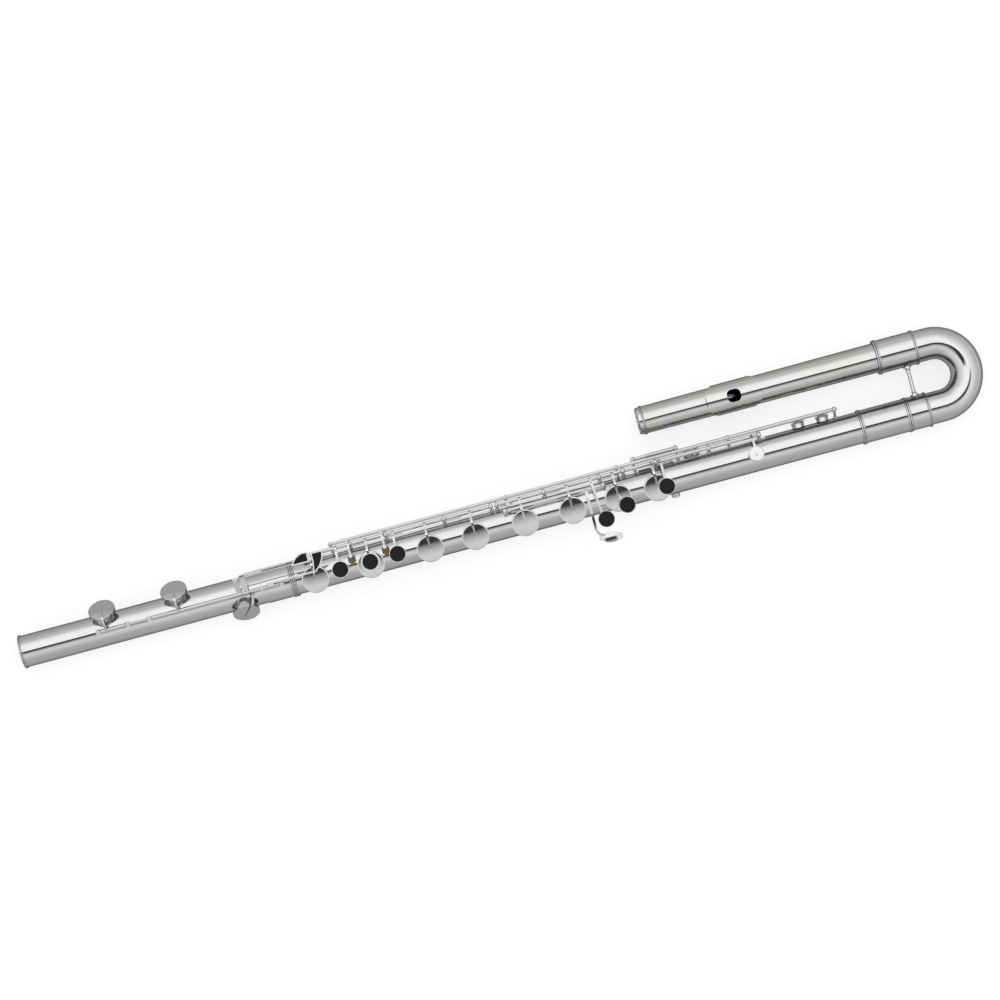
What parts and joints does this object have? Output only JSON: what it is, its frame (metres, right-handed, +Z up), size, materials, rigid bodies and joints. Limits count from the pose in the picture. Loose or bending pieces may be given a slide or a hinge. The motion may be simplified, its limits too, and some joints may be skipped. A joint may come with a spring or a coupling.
{
  "type": "bass flute",
  "caption": "Bass flute with a U-bent head, lip plate, tapered head tube, tone-hole chimneys and sprung padded keys on hinge rods.",
  "frame": {"origin": "centre of the foot joint's open end, on the bore's axis", "axes": "+X along the body towards the U bend, +Y from the body towards the head tube, +Z up through the embouchure hole"},
  "size_m": [1.0017, 0.1274, 0.0537],
  "materials": {
    "silver_tube": "gloss",
    "silver_head": "gloss",
    "silver_keys": "gloss",
    "steel": "satin",
    "touch_black": "satin",
    "pad_felt": "matte",
    "cork": "matte"
  },
  "bodies": {
    "flute_body": {"foot_tube": "silver_tube", "foot_rings": "silver_tube", "foot_posts": "silver_keys", "body_tube": "silver_tube", "body_posts": "silver_keys", "steel_rods": "steel", "needle_springs": "steel", "barrel": "silver_tube", "bend_tube": "silver_tube", "lower_ferrule": "silver_tube", "upper_sleeve": "silver_tube", "brace": "silver_tube", "head_tube": "silver_head", "riser": "silver_head", "lip_plate": "silver_head", "crown": "silver_head", "stopper_cork": "cork", "stopper_screw": "steel", "crutch_socket": "silver_tube", "bumper_corks": "cork"},
    "low_c_key": {"low_c_key": "silver_keys", "low_c_pad": "pad_felt"},
    "low_c_sharp_key": {"low_c_sharp_key": "silver_keys", "low_c_sharp_pad": "pad_felt", "low_c_sharp_inlay": "touch_black"},
    "d_sharp_key": {"d_sharp_key": "silver_keys", "d_sharp_pad": "pad_felt", "d_sharp_inlay": "touch_black"},
    "d_key": {"d_key": "silver_keys", "d_pad": "pad_felt", "d_inlay": "touch_black"},
    "e_key": {"e_key": "silver_keys", "e_pad": "pad_felt", "e_inlay": "touch_black"},
    "f_key": {"f_key": "silver_keys", "f_pad": "pad_felt", "f_inlay": "touch_black"},
    "f_sharp_key": {"f_sharp_key": "silver_keys", "f_sharp_pad": "pad_felt"},
    "g_sharp_key": {"g_sharp_key": "silver_keys", "g_sharp_pad": "pad_felt"},
    "g_sharp_lever": {"g_sharp_lever": "silver_keys"},
    "g_key": {"g_key": "silver_keys", "g_pad": "pad_felt", "g_inlay": "touch_black"},
    "a_key": {"a_key": "silver_keys", "a_pad": "pad_felt", "a_inlay": "touch_black"},
    "b_flat_key": {"b_flat_key": "silver_keys", "b_flat_pad": "pad_felt"},
    "c_key": {"c_key": "silver_keys", "c_pad": "pad_felt", "c_inlay": "touch_black"},
    "thumb_b_key": {"thumb_b_key": "silver_keys", "thumb_b_pad": "pad_felt"},
    "thumb_b_flat_lever": {"thumb_b_flat_lever": "silver_keys"},
    "trill_d_key": {"trill_d_key": "silver_keys", "trill_d_pad": "pad_felt"},
    "trill_d_sharp_key": {"trill_d_sharp_key": "silver_keys", "trill_d_sharp_pad": "pad_felt"}
  },
  "joints": [
    {"name": "low_c_key_turn", "type": "hinge", "parent": "flute_body", "child": "low_c_key", "pos_m": [0.09, -0.0005, 0.02059], "axis": [1, 0, 0], "range_deg": [-8, 0], "stiffness_Nm_per_rad": 0.04, "springref_deg": 20.05},
    {"name": "low_c_sharp_key_turn", "type": "hinge", "parent": "flute_body", "child": "low_c_sharp_key", "pos_m": [0.164, -0.0005, 0.02059], "axis": [1, 0, 0], "range_deg": [-8, 0], "stiffness_Nm_per_rad": 0.04, "springref_deg": 20.05},
    {"name": "d_sharp_key_turn", "type": "hinge", "parent": "flute_body", "child": "d_sharp_key", "pos_m": [0.254, -0.0005, 0.02059], "axis": [1, 0, 0], "range_deg": [-8, 0], "stiffness_Nm_per_rad": 0.04, "springref_deg": 20.05},
    {"name": "d_key_turn", "type": "hinge", "parent": "flute_body", "child": "d_key", "pos_m": [0.321, 0.01961, 0.0124], "axis": [1, 0, 0], "range_deg": [0, 9], "stiffness_Nm_per_rad": 0.04, "springref_deg": -20.05},
    {"name": "e_key_turn", "type": "hinge", "parent": "flute_body", "child": "e_key", "pos_m": [0.3614, 0.01961, 0.0124], "axis": [1, 0, 0], "range_deg": [0, 9], "stiffness_Nm_per_rad": 0.04, "springref_deg": -20.05},
    {"name": "f_key_turn", "type": "hinge", "parent": "flute_body", "child": "f_key", "pos_m": [0.412, 0.01961, 0.0124], "axis": [1, 0, 0], "range_deg": [0, 9], "stiffness_Nm_per_rad": 0.04, "springref_deg": -20.05},
    {"name": "f_sharp_key_turn", "type": "hinge", "parent": "flute_body", "child": "f_sharp_key", "pos_m": [0.4686, 0.01961, 0.0124], "axis": [1, 0, 0], "range_deg": [0, 9], "stiffness_Nm_per_rad": 0.04, "springref_deg": -20.05},
    {"name": "g_sharp_key_turn", "type": "hinge", "parent": "flute_body", "child": "g_sharp_key", "pos_m": [0.5198, 0.01961, 0.0124], "axis": [1, 0, 0], "range_deg": [-7.2, 0], "stiffness_Nm_per_rad": 0.04, "springref_deg": 20.05},
    {"name": "g_sharp_lever_turn", "type": "hinge", "parent": "flute_body", "child": "g_sharp_lever", "pos_m": [0.553, 0.01079, 0.01761], "axis": [1, 0, 0], "range_deg": [0, 8], "stiffness_Nm_per_rad": 0.04, "springref_deg": -20.05},
    {"name": "g_key_turn", "type": "hinge", "parent": "flute_body", "child": "g_key", "pos_m": [0.573, 0.01961, 0.0124], "axis": [1, 0, 0], "range_deg": [0, 9], "stiffness_Nm_per_rad": 0.04, "springref_deg": -20.05},
    {"name": "a_key_turn", "type": "hinge", "parent": "flute_body", "child": "a_key", "pos_m": [0.621, 0.01961, 0.0124], "axis": [1, 0, 0], "range_deg": [0, 9], "stiffness_Nm_per_rad": 0.04, "springref_deg": -20.05},
    {"name": "b_flat_key_turn", "type": "hinge", "parent": "flute_body", "child": "b_flat_key", "pos_m": [0.651, 0.01961, 0.0124], "axis": [1, 0, 0], "range_deg": [0, 9], "stiffness_Nm_per_rad": 0.04, "springref_deg": -20.05},
    {"name": "c_key_turn", "type": "hinge", "parent": "flute_body", "child": "c_key", "pos_m": [0.713, 0.01961, 0.0124], "axis": [1, 0, 0], "range_deg": [0, 6], "stiffness_Nm_per_rad": 0.04, "springref_deg": -20.05},
    {"name": "thumb_b_key_turn", "type": "hinge", "parent": "flute_body", "child": "thumb_b_key", "pos_m": [0.669, 0.02801, 0.00751], "axis": [1, 0, 0], "range_deg": [-9, 0], "stiffness_Nm_per_rad": 0.04, "springref_deg": 20.05},
    {"name": "thumb_b_flat_lever_turn", "type": "hinge", "parent": "flute_body", "child": "thumb_b_flat_lever", "pos_m": [0.648, 0.02801, 0.00751], "axis": [1, 0, 0], "range_deg": [-7, 0], "stiffness_Nm_per_rad": 0.04, "springref_deg": 20.05},
    {"name": "trill_d_key_turn", "type": "hinge", "parent": "flute_body", "child": "trill_d_key", "pos_m": [0.581, 0.02439, 0.01101], "axis": [1, 0, 0], "range_deg": [0, 10], "stiffness_Nm_per_rad": 0.04, "springref_deg": -20.05},
    {"name": "trill_d_sharp_key_turn", "type": "hinge", "parent": "flute_body", "child": "trill_d_sharp_key", "pos_m": [0.586, 0.02439, 0.01101], "axis": [1, 0, 0], "range_deg": [0, 10], "stiffness_Nm_per_rad": 0.04, "springref_deg": -20.05}
  ],
  "couplings": [
    {"joint": "f_sharp_key_turn", "follows": "f_key_turn", "ratio": 1},
    {"joint": "b_flat_key_turn", "follows": "a_key_turn", "ratio": 1},
    {"joint": "g_sharp_key_turn", "follows": "g_sharp_lever_turn", "ratio": -0.9}
  ]
}
